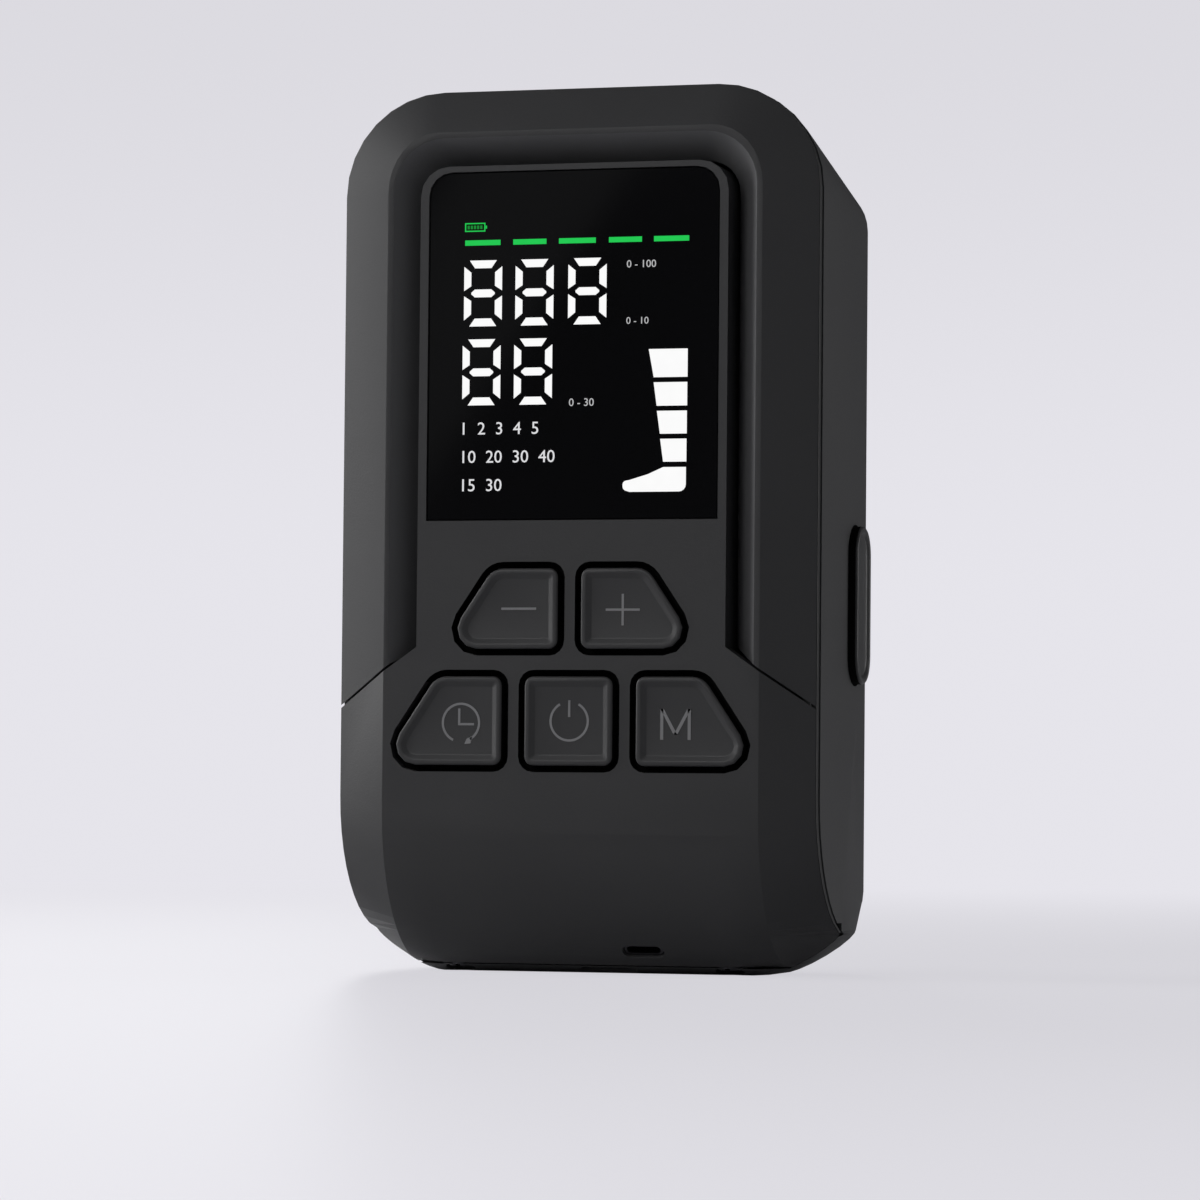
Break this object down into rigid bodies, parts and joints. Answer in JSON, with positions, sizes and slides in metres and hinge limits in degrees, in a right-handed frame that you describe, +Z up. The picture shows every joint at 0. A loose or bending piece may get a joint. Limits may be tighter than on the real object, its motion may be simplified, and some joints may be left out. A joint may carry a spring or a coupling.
{
  "type": "compression therapy pump",
  "caption": "Hand-held air pump unit for leg compression sleeves: upright black casing with a tall display, push keys, a side button and a hose socket at the rear",
  "frame": {"origin": "centre of the flat base that the unit stands on", "axes": "+Z up, the display and keys face -Y, +X is the viewer's right"},
  "size_m": [0.0848, 0.0454, 0.15],
  "materials": {
    "shell_plastic": "fine satin black moulded plastic",
    "band_plastic": "satin dark grey plastic",
    "key_plastic": "satin black moulded plastic",
    "lens_black": "polished dark lens",
    "steel": "plain steel",
    "board_green": "green solder mask",
    "chip_black": "moulded package",
    "rubber_grey": "soft grey rubber",
    "frame_white": "white reflector plastic",
    "cell_wrap": "heat-shrunk sleeve",
    "nylon_white": "natural nylon",
    "silicone_clear": "milky silicone"
  },
  "bodies": {
    "casing": {"bezel_cover": "shell_plastic", "front_panel": "shell_plastic", "rear_housing": "shell_plastic", "trim_band": "band_plastic", "display_window": "lens_black", "side_switch": "chip_black", "side_board": "board_green", "rear_screw_1": "steel", "rear_screw_2": "steel", "rear_screw_3": "steel", "rear_screw_4": "steel", "base_screw_left": "steel", "base_screw_right": "steel", "display_module": "chip_black", "backlight_plate": "frame_white", "display_frame": "frame_white", "keypad_membrane": "rubber_grey", "switch_minus": "chip_black", "switch_plus": "chip_black", "switch_timer": "chip_black", "switch_power": "chip_black", "switch_mode": "chip_black", "main_board": "board_green", "controller_chip": "chip_black", "buzzer": "chip_black", "pressure_sensor": "chip_black", "charge_port": "steel", "charge_board": "board_green", "inlet_filter": "rubber_grey", "battery_cell_1": "cell_wrap", "battery_cell_2": "cell_wrap", "battery_holder": "nylon_white", "pump_motor": "steel", "pump_head": "nylon_white", "wobble_plate": "nylon_white", "pump_diaphragm": "rubber_grey", "head_cover": "nylon_white", "motor_cradle": "rubber_grey", "head_cradle": "rubber_grey", "manifold": "nylon_white", "valve_1": "steel", "valve_2": "steel", "hose_tube_1": "silicone_clear", "hose_tube_2": "silicone_clear", "pump_tube": "silicone_clear", "sensor_tube": "silicone_clear", "outlet_socket": "shell_plastic"},
    "key_minus_body": {"key_minus": "key_plastic"},
    "key_plus_body": {"key_plus": "key_plastic"},
    "key_timer_body": {"key_timer": "key_plastic"},
    "key_power_body": {"key_power": "key_plastic"},
    "key_mode_body": {"key_mode": "key_plastic"},
    "side_button_body": {"side_button": "key_plastic"},
    "rotor_body": {"motor_rotor": "steel"},
    "plunger_1_body": {"valve_plunger_1": "steel"},
    "plunger_2_body": {"valve_plunger_2": "steel"}
  },
  "joints": [
    {"name": "key_minus_press", "type": "slide", "parent": "casing", "child": "key_minus_body", "axis": [0, 1, 0], "range_m": [0, 0.0007], "stiffness_N_per_m": 600},
    {"name": "key_plus_press", "type": "slide", "parent": "casing", "child": "key_plus_body", "axis": [0, 1, 0], "range_m": [0, 0.0007], "stiffness_N_per_m": 600},
    {"name": "key_timer_press", "type": "slide", "parent": "casing", "child": "key_timer_body", "axis": [0, 1, 0], "range_m": [0, 0.0007], "stiffness_N_per_m": 600},
    {"name": "key_power_press", "type": "slide", "parent": "casing", "child": "key_power_body", "axis": [0, 1, 0], "range_m": [0, 0.0007], "stiffness_N_per_m": 600},
    {"name": "key_mode_press", "type": "slide", "parent": "casing", "child": "key_mode_body", "axis": [0, 1, 0], "range_m": [0, 0.0007], "stiffness_N_per_m": 600},
    {"name": "side_button_press", "type": "slide", "parent": "casing", "child": "side_button_body", "axis": [-1, 0, 0], "range_m": [0, 0.001], "stiffness_N_per_m": 700},
    {"name": "motor_spin", "type": "hinge", "parent": "casing", "child": "rotor_body", "pos_m": [0, 0.0005, 0.019], "axis": [1, 0, 0], "continuous": true},
    {"name": "valve_plunger_1_lift", "type": "slide", "parent": "casing", "child": "plunger_1_body", "axis": [0, 0, 1], "range_m": [0, 0.001], "stiffness_N_per_m": 200},
    {"name": "valve_plunger_2_lift", "type": "slide", "parent": "casing", "child": "plunger_2_body", "axis": [0, 0, 1], "range_m": [0, 0.001], "stiffness_N_per_m": 200}
  ]
}
